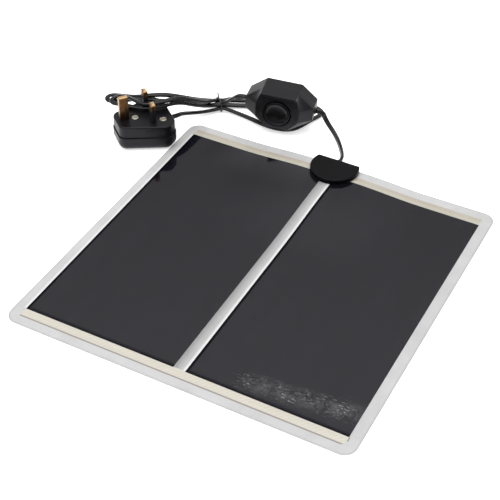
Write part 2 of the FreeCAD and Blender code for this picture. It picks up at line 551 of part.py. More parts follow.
def plug_inside():
    """Fuse in its clips, the grip on the lead, and the two stripped cores."""
    fuse = rod((2.4, FUSE_Y, FUSE_Z), (27.7, FUSE_Y, FUSE_Z), FUSE_RADIUS)
    save("fuse", [fuse], PLUG_PLACE)
    clip = FUSE_CLIP
    clips = [box(x, x + clip, FUSE_Y - clip, FUSE_Y + clip, FUSE_Z - clip, FUSE_Z + clip).cut(fuse)
             for x in (4.4, 24.0)]
    save("fuse_clips", clips, PLUG_PLACE)
    posts = [(GRIP_X, s * GRIP_SCREW_Y) for s in SIDES]
    grip_low, grip_screw = PLUG_LEAD_Z - 4.6, 1.1
    grip = box(GRIP_X - 2, GRIP_X + 2, -6.2, 6.2, grip_low, grip_low + 3.0)
    grip = grip.cut(joined([rod((x, y, 5), (x, y, 20), grip_screw) for x, y in posts]))
    save("cord_grip", [grip], PLUG_PLACE)
    save("cord_grip_screws", [rod((x, y, grip_low - 1), (x, y, PLUG_HEIGHT - 3.5), grip_screw)
                              for x, y in posts], PLUG_PLACE)
    start, clip_top = PLUG_CORE_START, FUSE_Z + FUSE_CLIP
    neutral = [V(start, CORE_PITCH, PLUG_LEAD_Z), V(29.0, CORE_PITCH, PLUG_LEAD_Z),
               V(27.6, 9.8, 16.4), V(26.0, PIN_PITCH_Y, 16.4), V(PIN_PITCH_X + 2, PIN_PITCH_Y, 16.4)]
    live = [V(start, -CORE_PITCH, PLUG_LEAD_Z), V(29.0, -CORE_PITCH, PLUG_LEAD_Z),
            V(26.8, -6.0, 16.6), V(25.8, FUSE_Y, 16.0), V(25.8, FUSE_Y, clip_top)]
    save("plug_cores", [tube(path, CORE_RADIUS)[0] for path in (neutral, live)], PLUG_PLACE)


def plug():
    # place along and across, section and height, and the chamfer at the tip
    pins_at = {"earth_pin": (0.0, 0.0, EARTH_PIN, 0.7),
               "neutral_pin": (PIN_PITCH_X, PIN_PITCH_Y, LIVE_PIN, 1.2),
               "live_pin": (PIN_PITCH_X, -PIN_PITCH_Y, LIVE_PIN, 1.2)}
    plug_shells(pins_at)
    plug_pins(pins_at)
    plug_inside()


# ---- leads -------------------------------------------------------------------------------------
# From the clamp's bush, down to the floor, and up into the controller's right end.
MAT_ROUTE = [
    V(0, CLAMP_BACK + CLAMP_PROUD, LEAD_EXIT_Z), V(0, 145.6, LEAD_EXIT_Z), V(-2.6, 152.6, 3.4),
    V(-7.6, 161.2, 2.1), V(-14.0, 170.0, 2.3), V(-21.2, 176.6, 4.6), V(-28.4, 179.4, 9.6),
    V(-32.6, 180.4, 14.6),
    CASE_PLACE.multVec(V(CASE_LENGTH / 2 + 7.2, 0, CASE_JOINT_Z)),
    CASE_PLACE.multVec(V(CASE_LENGTH / 2 + BUSH_PROUD, 0, CASE_JOINT_Z)),
]

MAINS_ROUTE = [
    # from the controller's left end down to the tie
    CASE_PLACE.multVec(V(-CASE_LENGTH / 2 - BUSH_PROUD, 0, CASE_JOINT_Z)),
    CASE_PLACE.multVec(V(-CASE_LENGTH / 2 - 6, 0, CASE_JOINT_Z)),
    V(-110.4, 162.0, 22.8), V(-117.2, 166.4, 15.6), V(-123.2, 167.6, 9.4),
    V(-128.6, 165.6, 7.0), V(-132.4, 160.4, 7.6),
    # up over the plug and round the first left fold
    V(-136.0, 153.0, 10.2), V(-139.5, 141.0, 17.0), V(-147.0, 127.0, 26.2), V(-156.2, 112.9, 27.4),
    V(-168.5, 103.9, 26.6), V(-180.6, 101.8, 26.3), V(-191.0, 101.3, 25.8),
    V(-198.5, 100.7, 25.0), V(-201.8, 105.5, 25.0), V(-199.2, 110.5, 26.0), V(-191.0, 110.5, 28.2),
    # back to the tie and out behind the controller
    V(-179.9, 106.8, 30.4), V(-168.3, 103.8, 31.1), V(-156.2, 112.9, 31.8),
    V(-147.3, 127.3, 30.8), V(-139.7, 141.5, 21.6), V(-135.5, 154.1, 14.2),
    V(-133.6, 163.9, 10.4), V(-131.2, 170.6, 7.5), V(-122.0, 180.4, 3.4), V(-108.0, 189.5, 2.1),
    V(-89.0, 196.0, 2.1), V(-72.0, 200.5, 2.1),
    # the inner right fold
    V(-62.0, 202.1, 2.1), V(-58.2, 197.6, 2.1), V(-60.3, 192.1, 2.1), V(-70.0, 190.9, 2.1),
    # back to the tie and along the second left fold
    V(-88.0, 188.0, 2.1), V(-106.0, 182.0, 2.1), V(-118.5, 176.0, 2.5), V(-129.6, 169.3, 3.5),
    V(-134.2, 163.7, 4.8), V(-140.3, 155.0, 8.8), V(-144.0, 142.5, 16.6), V(-150.6, 130.0, 24.8),
    V(-160.6, 121.3, 27.0), V(-173.3, 116.9, 26.8), V(-184.5, 113.1, 25.8),
    V(-198.0, 108.5, 22.0), V(-207.3, 106.9, 20.6), V(-211.6, 111.8, 20.2),
    V(-209.0, 116.9, 20.6), V(-199.5, 118.0, 22.0),
    # back to the tie
    V(-186.0, 118.3, 24.6), V(-173.3, 120.6, 28.8), V(-162.0, 126.4, 29.8),
    V(-152.6, 134.0, 26.4), V(-145.0, 144.0, 20.4), V(-141.2, 156.5, 13.0),
    V(-137.4, 166.6, 7.6), V(-133.6, 173.4, 3.8),
    # the outer right fold, behind the controller and back under it
    V(-124.5, 187.0, 2.3), V(-108.0, 197.2, 2.1), V(-88.0, 204.2, 2.1), V(-68.0, 207.8, 2.1),
    V(-57.4, 207.9, 2.1), V(-50.4, 206.0, 2.1), V(-45.0, 203.0, 2.1), V(-45.4, 196.6, 2.1),
    V(-49.6, 187.4, 2.1), V(-52.4, 177.6, 2.1), V(-56.4, 168.8, 2.1), V(-63.6, 163.8, 2.1),
    V(-74.0, 161.9, 2.1), V(-86.2, 162.7, 2.1), V(-98.8, 165.2, 2.1), V(-110.4, 166.5, 2.2),
    V(-118.4, 166.6, 2.7),
    # through the tie to the plug
    V(-125.8, 165.9, 3.6), V(-130.8, 160.2, 3.2), V(-138.3, 150.7, 4.2), V(-143.4, 139.6, 8.4),
    V(-147.0, 129.8, 12.6), PLUG_PLACE.multVec(V(PLUG_END + 6, 0, PLUG_LEAD_Z)),
    PLUG_PLACE.multVec(V(PLUG_END + BUSH_PROUD, 0, PLUG_LEAD_Z)),
]


def twist_tie():
    """A wire loop drawn tight round the five strands, with its twisted tail standing up."""
    across = V(-0.731, 0.682, 0)
    strands = [TIE_AT + across * n + Z * z for n, z in TIE_STRANDS]
    edges, outward = [], []
    for a, b in zip(strands, strands[1:] + strands[:1]):
        along = (b - a).normalize()
        outward.append(along.cross(across.cross(Z)).normalize() * TIE_REACH)
    for i, centre in enumerate(strands):
        before, after = outward[i - 1], outward[i]
        middle = (before + after).normalize() * TIE_REACH
        edges.append(Part.Arc(centre + before, centre + middle, centre + after).toShape())
        following = strands[(i + 1) % len(strands)]
        edges.append(Part.LineSegment(centre + after, following + after).toShape())
    start = strands[0] + outward[0]
    profile = Part.Wire(Part.makeCircle(TIE_WIRE / 2, start, strands[1] - strands[0]))
    loop = Part.Wire(edges[1:] + edges[:1]).makePipeShell([profile], True, False)
    foot = strands[2] + Z * (TIE_REACH + TIE_WIRE / 2 + 0.05)
    tail = [foot, foot + V(-0.1, 0.1, 1.4), foot + V(-0.3, -0.2, 2.7), foot + V(-0.7, 0.2, 4.0)]
    save("twist_tie", [loop, tube(tail, TIE_WIRE / 2)[0]])


mat()
terminal()
case_shells()
case_screws()
case_bushes()
knob()
controller_inside()
plug()
lead("mat_lead", MAT_ROUTE)
lead("mains_lead", MAINS_ROUTE)
twist_tie()
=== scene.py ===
import json
import math

import bmesh
import bpy
from mathutils import Matrix, Vector


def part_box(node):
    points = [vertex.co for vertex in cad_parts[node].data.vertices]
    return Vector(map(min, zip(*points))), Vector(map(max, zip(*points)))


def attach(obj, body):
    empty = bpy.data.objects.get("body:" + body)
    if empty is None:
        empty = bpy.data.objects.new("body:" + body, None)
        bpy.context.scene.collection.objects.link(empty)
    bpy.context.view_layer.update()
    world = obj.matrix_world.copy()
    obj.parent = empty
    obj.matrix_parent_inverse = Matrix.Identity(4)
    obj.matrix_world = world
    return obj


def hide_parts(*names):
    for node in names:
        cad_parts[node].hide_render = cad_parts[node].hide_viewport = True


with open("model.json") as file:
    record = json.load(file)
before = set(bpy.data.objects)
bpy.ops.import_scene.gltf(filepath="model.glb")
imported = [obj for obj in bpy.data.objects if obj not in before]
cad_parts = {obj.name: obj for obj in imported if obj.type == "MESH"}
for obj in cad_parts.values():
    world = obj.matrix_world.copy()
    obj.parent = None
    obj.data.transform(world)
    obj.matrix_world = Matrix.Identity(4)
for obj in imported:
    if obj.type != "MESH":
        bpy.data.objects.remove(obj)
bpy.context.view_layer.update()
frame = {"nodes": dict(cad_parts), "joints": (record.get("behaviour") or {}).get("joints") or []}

# Seedling heat mat on a pale floor.  Metres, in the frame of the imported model.
nodes = frame["nodes"]
MM = 0.001
UP = Vector((0, 0, 1))


def camera():
    """The mat seen from its right front, 41 degrees above the floor, fitted to the photograph."""
    target, distance = Vector((-0.0160, 0.01154, 0)), 0.966
    azimuth, elevation = math.radians(28.05), math.radians(41.22)
    back = Vector((math.sin(azimuth) * math.cos(elevation),
                   -math.cos(azimuth) * math.cos(elevation), math.sin(elevation)))
    data = bpy.data.cameras.new("camera")
    data.lens, data.sensor_width = 89.45, 36
    data.clip_start, data.clip_end = 0.05, 20
    eye = bpy.data.objects.new("camera", data)
    eye.location = target + back * distance
    eye.rotation_euler = (-back).to_track_quat("-Z", "Y").to_euler()
    bpy.context.scene.collection.objects.link(eye)
    bpy.context.scene.camera = eye


camera()

# ---- leads: the routes' points in millimetres ----------------------------------------------------
MAT_ROUTE = [
    (0.0, 141.7, 4.85), (0.0, 145.6, 4.85), (-2.6, 152.6, 3.4), (-7.6, 161.2, 2.1),
    (-14.0, 170.0, 2.3), (-21.2, 176.6, 4.6), (-28.4, 179.4, 9.6), (-32.6, 180.4, 14.6),
    (-34.28, 179.2, 20.54), (-40.31, 177.81, 20.92),
]
MAINS_ROUTE = [
    (-100.61, 163.89, 24.7), (-105.47, 162.76, 25.01), (-110.4, 162.0, 22.8), (-117.2, 166.4, 15.6),
    (-123.2, 167.6, 9.4), (-128.6, 165.6, 7.0), (-132.4, 160.4, 7.6), (-136.0, 153.0, 10.2),
    (-139.5, 141.0, 17.0), (-147.0, 127.0, 26.2), (-156.2, 112.9, 27.4), (-168.5, 103.9, 26.6),
    (-180.6, 101.8, 26.3), (-191.0, 101.3, 25.8), (-198.5, 100.7, 25.0), (-201.8, 105.5, 25.0),
    (-199.2, 110.5, 26.0), (-191.0, 110.5, 28.2), (-179.9, 106.8, 30.4), (-168.3, 103.8, 31.1),
    (-156.2, 112.9, 31.8), (-147.3, 127.3, 30.8), (-139.7, 141.5, 21.6), (-135.5, 154.1, 14.2),
    (-133.6, 163.9, 10.4), (-131.2, 170.6, 7.5), (-122.0, 180.4, 3.4), (-108.0, 189.5, 2.1),
    (-89.0, 196.0, 2.1), (-72.0, 200.5, 2.1), (-62.0, 202.1, 2.1), (-58.2, 197.6, 2.1),
    (-60.3, 192.1, 2.1), (-70.0, 190.9, 2.1), (-88.0, 188.0, 2.1), (-106.0, 182.0, 2.1),
    (-118.5, 176.0, 2.5), (-129.6, 169.3, 3.5), (-134.2, 163.7, 4.8), (-140.3, 155.0, 8.8),
    (-144.0, 142.5, 16.6), (-150.6, 130.0, 24.8), (-160.6, 121.3, 27.0), (-173.3, 116.9, 26.8),
    (-184.5, 113.1, 25.8), (-198.0, 108.5, 22.0), (-207.3, 106.9, 20.6), (-211.6, 111.8, 20.2),
    (-209.0, 116.9, 20.6), (-199.5, 118.0, 22.0), (-186.0, 118.3, 24.6), (-173.3, 120.6, 28.8),
    (-162.0, 126.4, 29.8), (-152.6, 134.0, 26.4), (-145.0, 144.0, 20.4), (-141.2, 156.5, 13.0),
    (-137.4, 166.6, 7.6), (-133.6, 173.4, 3.8), (-124.5, 187.0, 2.3), (-108.0, 197.2, 2.1),
    (-88.0, 204.2, 2.1), (-68.0, 207.8, 2.1), (-57.4, 207.9, 2.1), (-50.4, 206.0, 2.1),
    (-45.0, 203.0, 2.1), (-45.4, 196.6, 2.1), (-49.6, 187.4, 2.1), (-52.4, 177.6, 2.1),
    (-56.4, 168.8, 2.1), (-63.6, 163.8, 2.1), (-74.0, 161.9, 2.1), (-86.2, 162.7, 2.1),
    (-98.8, 165.2, 2.1), (-110.4, 166.5, 2.2), (-118.4, 166.6, 2.7), (-125.8, 165.9, 3.6),
    (-130.8, 160.2, 3.2), (-138.3, 150.7, 4.2), (-143.4, 139.6, 8.4), (-147.0, 129.8, 12.6),
    (-146.94, 121.12, 15.5), (-150.21, 117.34, 15.5),
]
LEAD_WIDTH, LEAD_THICKNESS = 4.4 * MM, 2.8 * MM
WANDER_LENGTH = 130 * MM     # a lead twists slowly to and fro once in this length


def finished_mesh(bm, name):
    """The bmesh as a mesh.  The bmesh is freed."""
    mesh = bpy.data.meshes.new(name)
    bm.to_mesh(mesh)
    bm.free()
    return mesh


def show(name, mesh, body="mat"):
    """A new smooth object for a mesh, riding on a body."""
    piece = bpy.data.objects.new(name, mesh)
    bpy.context.scene.collection.objects.link(piece)
    for face in mesh.polygons:
        face.use_smooth = True
    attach(piece, body)
    return piece


def centre_line(route):
    """Points along the NURBS spline that has the route as its control points."""
    curve = bpy.data.curves.new("route", "CURVE")
    curve.dimensions, curve.resolution_u = "3D", 10
    spline = curve.splines.new("NURBS")
    spline.points.add(len(route) - 1)
    for point, place in zip(spline.points, route):
        point.co = (*(Vector(place) * MM), 1)
    spline.order_u, spline.use_endpoint_u = 3, True
    bare = bpy.data.objects.new("route", curve)
    mesh = bpy.data.meshes.new_from_object(bare)
    line = [v.co.copy() for v in mesh.vertices]
    bpy.data.meshes.remove(mesh)
    bpy.data.curves.remove(curve)
    return line


def twin_section():
    """Outline of flat twin lead: two round cores side by side, with a groove between them."""
    count = 11
    radius = LEAD_THICKNESS / 2
    offset = LEAD_WIDTH / 2 - radius
    reach = math.acos(-offset / radius)
    angles = [reach * (2 * i / (count - 1) - 1) for i in range(count)]
    right = [(offset + radius * math.cos(a), radius * math.sin(a)) for a in angles]
    return right[:-1] + [(-x, -y) for x, y in right[:-1]]


def sweep(name, line, section, roll, wander):
    """A tube along a line.  Its wide side lies level, turned by roll and a slow wander."""
    bm = bmesh.new()
    rings, along = [], 0.0
    for before, here, after in zip(line[:1] + line[:-1], line, line[1:] + line[-1:]):
        forward = (after - before).normalized()
        side = forward.cross(UP).normalized()
        up = side.cross(forward)
        along += (here - before).length
        turn = roll + wander * math.sin(math.tau * along / WANDER_LENGTH)
        wide = side * math.cos(turn) + up * math.sin(turn)
        thin = up * math.cos(turn) - side * math.sin(turn)
        rings.append([bm.verts.new(here + wide * x + thin * y) for x, y in section])
    count = len(section)
    for a, b in zip(rings, rings[1:]):
        for k in range(count):
            bm.faces.new((a[k], a[(k + 1) % count], b[(k + 1) % count], b[k]))
    bm.faces.new(rings[0][::-1])
    bm.faces.new(rings[-1])
    bmesh.ops.recalc_face_normals(bm, faces=bm.faces)
    return finished_mesh(bm, name)


def lead(node, route, roll, wander):
    """The drawn lead that stands for a node, and the line it follows."""
    line = centre_line(route)
    name = f"{node}_twin"
    piece = show(name, sweep(name, line, twin_section(), roll, wander))
    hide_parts(node)
    return piece, line


mat_lead, mat_line = lead("mat_lead", MAT_ROUTE, 1.2, 0.1)
mains_lead, mains_line = lead("mains_lead", MAINS_ROUTE, 0.0, 0.35)


# ---- materials -----------------------------------------------------------------------------------
LEVEL_LINES = (1, 1, 12)               # stretches of a noise
UPRIGHT_STREAKS = (1, 1, 0.25)
PLASTIC_TINT, PLASTIC_SHEEN = (1, 0.98, 1.12), (0.93, 0.92, 1, 1)
PIN_TIP_HIGHLIGHT, PIN_SHADE = 0.6 * MM, 20 * MM      # painted highlight at a pin's end, and how far the painted shade climbs from the plug's face


class Shader:
    """A material's node tree, with short ways to add to it."""

    def __init__(self, name):
        self.material = bpy.data.materials.new(name)
        self.material.use_nodes = True
        self.tree = self.material.node_tree
        self.body = self.tree.nodes["Principled BSDF"]
        self.place = self.add("ShaderNodeTexCoord").outputs["Object"]

    def feed(self, node, socket, value):
        """Links or sets an input, known by its name, or by its number where names repeat."""
        if isinstance(value, bpy.types.NodeSocket):
            self.tree.links.new(value, node.inputs[socket])
        else:
            node.inputs[socket].default_value = value

    def add(self, kind, settings=None, **inputs):
        node = self.tree.nodes.new(kind)
        for key, value in (settings or {}).items():
            setattr(node, key, value)
        for key, value in inputs.items():
            self.feed(node, key.replace("_", " "), value)
        return node

    def set(self, **inputs):
        for key, value in inputs.items():
            self.feed(self.body, key.replace("_", " "), value)

    def axis(self, name):
        return self.add("ShaderNodeSeparateXYZ", Vector=self.place).outputs[name]

    def noise(self, scale, detail=3.0, roughness=0.55, stretch=None):
        """Noise with about so many features to the metre."""
        place = self.place
        if stretch:
            place = self.add("ShaderNodeMapping", Vector=place, Scale=stretch).outputs[0]
        node = self.add("ShaderNodeTexNoise", Vector=place, Scale=scale, Detail=detail,
                        Roughness=roughness)
        return node.outputs["Fac"]

    def spread(self, value, low, high, out_low=0, out_high=1, smooth=False):
        """Maps low..high to out_low..out_high, clamped."""
        kind = "SMOOTHSTEP" if smooth else "LINEAR"
        node = self.add("ShaderNodeMapRange", {"interpolation_type": kind}, Value=value,
                        From_Min=low, From_Max=high, To_Min=out_low, To_Max=out_high)
        return node.outputs["Result"]

    def vary(self, noise, low, high):
        """Maps the range that a noise mostly keeps to, 0.3 to 0.7, to low..high."""
        return self.spread(noise, 0.3, 0.7, low, high)

    def window(self, value, rise, fall, levels=(1, 0), smooth=False):
        """Climbs from 0 to the first level over rise, and drops to the second over fall."""
        return self.product(self.spread(value, *rise, smooth=smooth),
                            self.spread(value, *fall, *levels, smooth=smooth))

    def calc(self, operation, *values):
        node = self.add("ShaderNodeMath", {"operation": operation})
        for index, value in enumerate(values):
            self.feed(node, index, value)
        return node.outputs[0]

    def product(self, first, *others):
        for other in others:
            first = self.calc("MULTIPLY", first, other)
        return first

    def blend(self, share, first, second):
        """One colour to another by share."""
        node = self.add("ShaderNodeMix", {"data_type": "RGBA"})
        for index, value in ((0, share), (6, first), (7, second)):
            self.feed(node, index, value)
        return node.outputs[2]

    def relief(self, height, depth, edge=None):
        """Bump from a height, over edges rounded to a radius where one is given."""
        bump = self.add("ShaderNodeBump", Height=height, Distance=depth, Strength=1.0)
        if edge:
            soft = self.add("ShaderNodeBevel", {"samples": 6}, Radius=edge)
            self.feed(bump, "Normal", soft.outputs[0])
        self.set(Normal=bump.outputs[0])
        return self.material


def grey(level, tint=(1, 1, 1)):
    return (level * tint[0], level * tint[1], level * tint[2], 1)


def moulded(name, level, roughness, gloss, edge=0.5 * MM):
    """Black moulded plastic: fine spark grain, faint handling marks, softened edges."""
    s = Shader(name)
    cloud, grain = s.noise(60, 4), s.noise(2600, 2)
    rub = s.spread(s.noise(420, 5, 0.7, UPRIGHT_STREAKS), 0.60, 0.78)
    dark, pale, worn = (grey(level * share, PLASTIC_TINT) for share in (0.8, 1.2, 2.4))
    colour = s.blend(s.vary(cloud, 0, 1), dark, pale)
    s.set(Base_Color=s.blend(s.product(rub, 0.35), colour, worn), Specular_IOR_Level=gloss,
          Specular_Tint=PLASTIC_SHEEN, Roughness=s.vary(cloud, roughness - 0.05, roughness + 0.06))
    return s.relief(grain, 0.02 * MM, edge)


def sheath(name):
    """Soft PVC: a slight bloom, and a drawn surface with the odd scuff."""
    s = Shader(name)
    cloud, scuff = s.noise(130, 4), s.spread(s.noise(900, 4, 0.7), 0.66, 0.8)
    colour = s.blend(cloud, grey(0.003), grey(0.006))
    s.set(Base_Color=s.blend(s.product(scuff, 0.3), colour, grey(0.03)),
          Specular_IOR_Level=0.34, Roughness=s.vary(cloud, 0.18, 0.28))
    return s.relief(s.noise(1500, 2), 0.02 * MM)


def metal(name, colour, dark, roughness):
    """Metal with drawing lines, and a tarnish that gathers in patches."""
    s = Shader(name)
    lines, patches = s.noise(700, 3, 0.6, LEVEL_LINES), s.spread(s.noise(260, 4), 0.42, 0.72)
    s.set(Base_Color=s.blend(patches, colour, dark), Metallic=1.0,
          Roughness=s.vary(lines, roughness - 0.08, roughness + 0.12))
    return s.relief(lines, 0.03 * MM, 0.3 * MM)


def pin_metal_painted_light(name, top):
    """Brass pins with painted light: painted shade darkens them towards the plug's face, and a painted
    highlight turns the tips golden.
    """
    s = Shader(name)
    lines, patches = s.noise(700, 3, 0.6, LEVEL_LINES), s.spread(s.noise(300, 4), 0.42, 0.72)
    z = s.axis("Z")
    # painted shade: darker brown towards the plug's face, lighter brown higher up
    colour = s.blend(s.spread(z, top - PIN_SHADE, top), (0.10, 0.055, 0.03, 1), (0.46, 0.25, 0.11, 1))
    colour = s.blend(s.product(patches, 0.5), colour, (0.16, 0.08, 0.035, 1))
    # painted highlight: the top end of each pin is golden
    colour = s.blend(s.spread(z, top - PIN_TIP_HIGHLIGHT, top, 0, 0.85), colour, (0.72, 0.52, 0.28, 1))
    s.set(Base_Color=colour, Metallic=1.0, Roughness=s.vary(lines, 0.22, 0.4))
    return s.relief(lines, 0.03 * MM, 0.3 * MM)


def mottled(name, first, second, scale, roughness, depth=0.03 * MM):
    """A plain surface whose colour and gloss vary a little."""
    s = Shader(name)
    cloud = s.noise(scale, 4)
    s.set(Base_Color=s.blend(s.vary(cloud, 0, 1), first, second),
          Roughness=s.vary(cloud, roughness - 0.06, roughness + 0.08))
    return s.relief(s.noise(scale * 6, 3), depth)


def dress(material, *names):
    """Gives CAD nodes a material."""
    for name in names:
        data = nodes[name].data
        data.materials.clear()
        data.materials.append(material)


def dress_nodes():
    """Materials of the CAD nodes that show as they are, and of the two leads."""
    black = moulded("black_moulded", 0.003, 0.34, 0.09)
    case = moulded("case_moulded", 0.005, 0.38, 0.28, 0.7 * MM)
    plug = moulded("plug_moulded", 0.005, 0.36, 0.23, 0.7 * MM)
    sleeve = moulded("sleeve_moulded", 0.006, 0.45, 0.3, 0.2 * MM)
    rubber = mottled("bush_rubber", grey(0.012), grey(0.02), 300, 0.6)
    brass = metal("pin_brass", (0.50, 0.25, 0.09, 1), (0.20, 0.09, 0.035, 1), 0.26)
    steel = metal("zinc_steel", (0.62, 0.60, 0.52, 1), (0.35, 0.31, 0.24, 1), 0.3)
    tin = metal("tinned", (0.66, 0.66, 0.64, 1), (0.45, 0.44, 0.42, 1), 0.3)
    copper = metal("copper", (0.80, 0.36, 0.18, 1), (0.45, 0.18, 0.09, 1), 0.32)
    dip = mottled("dipped_part", (0.22, 0.07, 0.03, 1), (0.13, 0.04, 0.02, 1), 500, 0.35)
    aluminium = metal("sink_aluminium", (0.75, 0.75, 0.77, 1), (0.55, 0.55, 0.57, 1), 0.35)
    board = mottled("board", (0.24, 0.14, 0.05, 1), (0.17, 0.10, 0.04, 1), 220, 0.5)
    ceramic = mottled("fuse_body", (0.72, 0.69, 0.60, 1), (0.62, 0.58, 0.5, 1), 300, 0.3)
    nylon = mottled("shaft_nylon", (0.70, 0.69, 0.64, 1), (0.6, 0.59, 0.55, 1), 300, 0.4)
    tie = mottled("tie_plastic", grey(0.012), grey(0.022), 800, 0.4)
    dress(black, "terminal_base", "terminal_cover")
    dress(case, "controller_front_shell", "controller_rear_shell", "triac")
    dress(plug, "plug_base", "plug_cover")
    dress(sleeve, "pin_sleeves")
    dress(rubber, "terminal_gasket", "terminal_bush", "controller_bush_left",
          "controller_bush_right", "plug_bush")
    dress(brass, "fuse_clips", "terminal_eyelets")
    for pin in ("earth_pin", "live_pin", "neutral_pin"):
        dress(pin_metal_painted_light(f"{pin}_brass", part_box(pin)[1].z), pin)
    dress(steel, "plug_screws", "shell_screws", "cord_grip_screws")
    dress(tin, "crimp_tabs", "potentiometer")
    dress(copper, "mat_lead_cores", "controller_cores_left", "controller_cores_right",
          "plug_cores", "choke")
    dress(dip, "capacitor", "resistors", "cord_grip")
    dress(aluminium, "heat_sink")
    dress(board, "circuit_board")
    dress(ceramic, "fuse")
    dress(nylon, "knob_shaft")
    dress(tie, "twist_tie")
    pvc = sheath("lead_sheath")
    for piece in (mat_lead, mains_lead):
        piece.data.materials.append(pvc)


dress_nodes()

# ---- mat: the laminate's layers as fine meshes ---------------------------------------------------
FILM_LOW, FILM_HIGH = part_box("film_bottom")
PANELS = [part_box("carbon_panel_left"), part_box("carbon_panel_right")]
BAR_NODES = ("busbar_front", "busbar_rear_left", "busbar_rear_right")
BARS = [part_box(node) for node in BAR_NODES]
PANEL_FRONT, PANEL_REAR = PANELS[0][0].y, PANELS[0][1].y
FILM_CORNER, BAR_CORNER = 10 * MM, 4 * MM
CUT_SHORT = (1.3 * MM, 1.8 * MM)       # how far in the film's rear left corner lies
SHEET, PRINT = 0.25 * MM, 0.12 * MM
CLEARANCE = 0.02 * MM                  # keeps the layers' faces from lying in one plane
HAIR = 0.1 * MM                        # a change of tone over this width looks sharp
RISE = FILM_HIGH.z - SHEET             # at the clamp
RISE_START, RISE_LENGTH = 20 * MM, 88 * MM      # along Y, towards the rear
RISE_LEVEL, RISE_FADE = 22 * MM, 58 * MM        # along X, out from the middle
CELL = 7 * MM                          # size of a layer's faces
CUT_TOLERANCE = 0.001 * MM
LAYER_CREASE = math.radians(40)        # steeper edges look sharp


def ease(t):
    """From 0 to 1, level at both ends."""
    t = min(1.0, max(0.0, t))
    return t * t * (3 - 2 * t)


def lift(x, y):
    """Height of the film's underside above the floor: it rises only to the clamp."""
    across = 1 - ease((abs(x) - RISE_LEVEL) / RISE_FADE)
    return RISE * ease((y - RISE_START) / RISE_LENGTH) * across


def rectangle(box):
    (x0, y0), (x1, y1) = box[0].xy, box[1].xy
    return [(x0, y0), (x1, y0), (x1, y1), (x0, y1)]


def trimmed(low, high, radius):
    """A rectangle with its front right corner rounded."""
    steps = 6
    turn = [math.pi / 2 * i / steps for i in range(steps + 1)]
    corner = [(high.x - radius + radius * math.sin(a), low.y + radius - radius * math.cos(a))
              for a in turn]
    return [(low.x, low.y), *corner, (high.x, high.y), (low.x, high.y)]


def film_outline():
    """The square film with rounded corners."""
    steps, radius = 10, FILM_CORNER
    right, rear, front = FILM_HIGH.x - radius, FILM_HIGH.y - radius, FILM_LOW.y + radius
    points = []
    for x, y, start in ((right, rear, 0), (-right, rear, 90), (-right, front, 180),
                        (right, front, 270)):
        for i in range(steps + 1):
            a = math.radians(start + 90 * i / steps)
            points.append(off_square(x + radius * math.cos(a), y + radius * math.sin(a)))
    return points


def off_square(x, y):
    """The rear left corner is cut a little short."""
    share = max(0.0, -x / FILM_HIGH.x) * max(0.0, y / FILM_HIGH.y)
    return x + CUT_SHORT[0] * share, y - CUT_SHORT[1] * share


def slice_at(bm, normal, offset):
    geometry = bm.verts[:] + bm.edges[:] + bm.faces[:]
    bmesh.ops.bisect_plane(bm, geom=geometry, plane_co=Vector(normal) * offset, plane_no=normal,
                           dist=CUT_TOLERANCE)


def layer(name, outline, low, high, windows=()):
    """One layer: its outline cut into cells, less the windows, made solid and laid over the lift."""
    bm = bmesh.new()
    bm.faces.new([bm.verts.new((x, y, 0)) for x, y in outline])
    for axis, normal in enumerate(((1, 0, 0), (0, 1, 0))):
        start = min(point[axis] for point in outline)
        length = max(point[axis] for point in outline) - start
        count = max(1, round(length / CELL))
        cuts = {start + length * i / count for i in range(1, count)}
        cuts |= {corner[axis] for window in windows for corner in window}
        for cut in sorted(cuts):
            slice_at(bm, normal, cut)

    def covered(face):
        x, y, _ = face.calc_center_median()
        return any(a.x < x < b.x and a.y < y < b.y for a, b in windows)

    bmesh.ops.delete(bm, geom=[f for f in bm.faces if covered(f)], context="FACES")
    bmesh.ops.recalc_face_normals(bm, faces=bm.faces)
    if bm.faces[:][0].normal.z < 0:
        bmesh.ops.reverse_faces(bm, faces=bm.faces)
    made = bmesh.ops.extrude_face_region(bm, geom=bm.faces[:], use_keep_orig=True)
    raised = {v for v in made["geom"] if isinstance(v, bmesh.types.BMVert)}
    for vert in bm.verts:
        vert.co.z = lift(vert.co.x, vert.co.y) + (high if vert in raised else low)
    bmesh.ops.recalc_face_normals(bm, faces=bm.faces)
    piece = show(name, finished_mesh(bm, name))
    piece.data.set_sharp_from_angle(angle=LAYER_CREASE)
    return piece


def beside_panels(s):
    """1 between the front and the rear of the panels."""
    return s.window(s.axis("Y"), (PANEL_FRONT, PANEL_FRONT + 1 * MM), (PANEL_REAR - 1 * MM, PANEL_REAR))


def gap_shade(s, x):
    """Shade between the panels, deepest at the left."""
    left, right = PANELS[0][1].x, PANELS[1][0].x
    return s.product(s.window(x, (left - 2 * HAIR, left), (left + 4 * HAIR, right), (0.62, 0.04)),
                     beside_panels(s))


def bar_shade(s, x, y):
    """Shade beside the right end of the front bar."""
    right, rear = BARS[0][1].xy
    across = s.window(x, (right + HAIR, right + 2 * HAIR), (right + 0.7 * MM, right + 1 * MM), (0.8, 0))
    along = s.window(y, (rear - 4.5 * MM, rear - 3.5 * MM), (rear, rear + 2 * HAIR))
    return s.product(across, along)


def panel_line(s, x, left):
    """A white line just left of a panel."""
    line = s.window(x, (left - 2.4 * MM, left - 1.2 * MM), (left, left + 2 * HAIR), (0.9, 0))
    return s.product(line, beside_panels(s))


def corner_reach(s, value, straight):
    """How far a coordinate lies past the straight part of the film's side."""
    return s.calc("MAXIMUM", s.calc("SUBTRACT", s.calc("ABSOLUTE", value), straight), 0.0)


